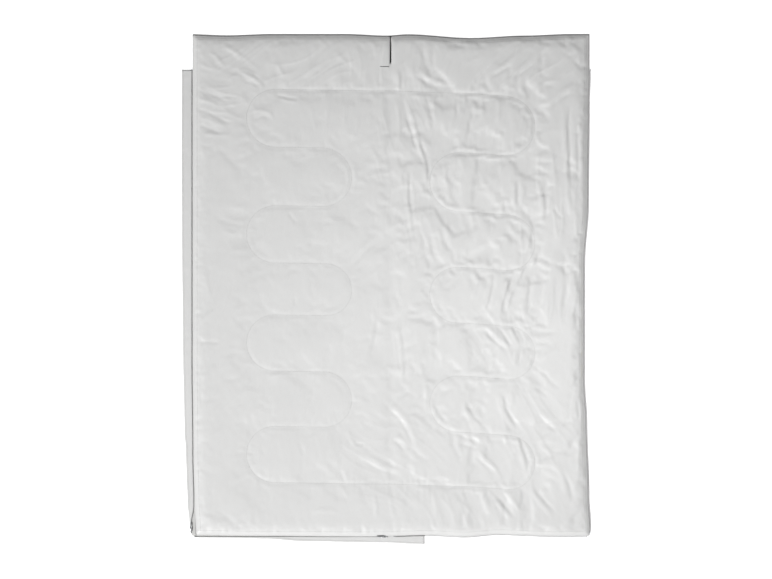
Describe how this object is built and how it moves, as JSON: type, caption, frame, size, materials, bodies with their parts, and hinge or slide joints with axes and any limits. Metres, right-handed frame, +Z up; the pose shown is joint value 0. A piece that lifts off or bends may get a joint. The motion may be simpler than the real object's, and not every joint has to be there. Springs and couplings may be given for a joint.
{
  "type": "infrared sauna blanket",
  "caption": "Padded electrically heated blanket, lying open flat, whose cover half folds over the back half and closes with side and foot zips.",
  "frame": {"origin": "on the floor under the middle of the open blanket's box", "axes": "+X across the blanket from the back half to the cover half, +Y along it towards the head end, +Z up through the lining"},
  "size_m": [1.5448, 1.922, 0.0198],
  "materials": {
    "satin": "pale grey satin-faced coated polyester, soft sheen",
    "shell_cloth": "charcoal water-resistant woven polyester",
    "foil": "thin bright aluminised polyester film",
    "felt": "needled cotton and polyester felt",
    "wadding": "soft white polyester wadding",
    "carrier_felt": "heat-resistant needle felt",
    "film": "thin waterproof plastic film",
    "wire_sheath": "silicone-sheathed heating wire",
    "lead_sheath": "silicone-sheathed copper lead",
    "tape_cloth": "pale grey woven polyester zip tape",
    "nylon": "pale grey moulded nylon zip coil",
    "zinc": "cast zinc alloy, satin nickel finish",
    "moulding": "black heat-resistant moulded nylon",
    "gasket_rubber": "soft black silicone rubber",
    "brass": "turned brass contact pin"
  },
  "bodies": {
    "back_half": {"back_comfort_wadding": "wadding", "back_foot_zip_coil": "nylon", "back_foot_zip_retainer_box": "zinc", "back_foot_zip_tape": "tape_cloth", "back_foot_zip_top_stop": "zinc", "back_heater_carrier": "carrier_felt", "back_heating_wire_lower": "wire_sheath", "back_heating_wire_upper": "wire_sheath", "back_insulation_felt": "felt", "back_lining": "satin", "back_moisture_film": "film", "back_outer_shell": "shell_cloth", "back_reflective_foil": "foil", "back_side_zip_coil": "nylon", "back_side_zip_retainer_box": "zinc", "back_side_zip_tape": "tape_cloth", "back_side_zip_top_stop": "zinc", "back_slit_binding": "shell_cloth", "back_thermal_limiter": "moulding", "fold_lining_strip": "satin", "fold_shell_strip": "shell_cloth", "slit_bar_tack": "shell_cloth", "zip_guard_flap": "satin"},
    "cover_half": {"cover_comfort_wadding": "wadding", "cover_foot_zip_coil": "nylon", "cover_foot_zip_insertion_pin": "zinc", "cover_foot_zip_tape": "tape_cloth", "cover_foot_zip_top_stop": "zinc", "cover_heater_carrier": "carrier_felt", "cover_heating_wire": "wire_sheath", "cover_insulation_felt": "felt", "cover_lining": "satin", "cover_moisture_film": "film", "cover_outer_shell": "shell_cloth", "cover_reflective_foil": "foil", "cover_side_zip_coil": "nylon", "cover_side_zip_insertion_pin": "zinc", "cover_side_zip_tape": "tape_cloth", "cover_side_zip_top_stop": "zinc", "cover_slit_binding": "shell_cloth", "cover_thermal_cutout": "moulding", "inlet_gasket": "gasket_rubber", "inlet_housing": "moulding", "inlet_pin_1": "brass", "inlet_pin_2": "brass", "inlet_pin_3": "brass", "return_lead": "lead_sheath", "sensor_lead": "lead_sheath", "supply_lead": "lead_sheath", "temperature_sensor": "moulding"},
    "side_slider": {"side_zip_slider": "zinc"},
    "side_tab": {"side_zip_pull_tab": "zinc"},
    "foot_slider": {"foot_zip_slider": "zinc"},
    "foot_tab": {"foot_zip_pull_tab": "zinc"}
  },
  "joints": [
    {"name": "cover_fold", "type": "hinge", "parent": "back_half", "child": "cover_half", "pos_m": [0.01755, 0, 0.0205], "axis": [0, -1, 0], "range_deg": [0, 179.9]},
    {"name": "side_zip_travel", "type": "slide", "parent": "back_half", "child": "side_slider", "axis": [0, 1, 0], "range_m": [0, 1.7178]},
    {"name": "side_pull_tab_flip", "type": "hinge", "parent": "side_slider", "child": "side_tab", "pos_m": [-0.73345, -0.9019, 0.00772], "axis": [1, 0, 0], "range_deg": [0, 180]},
    {"name": "foot_zip_travel", "type": "slide", "parent": "back_half", "child": "foot_slider", "axis": [-1, 0, 0], "range_m": [0, 0.6998]},
    {"name": "foot_pull_tab_flip", "type": "hinge", "parent": "foot_slider", "child": "foot_tab", "pos_m": [-0.00955, -0.93, 0.00772], "axis": [0, 1, 0], "range_deg": [0, 180]}
  ]
}
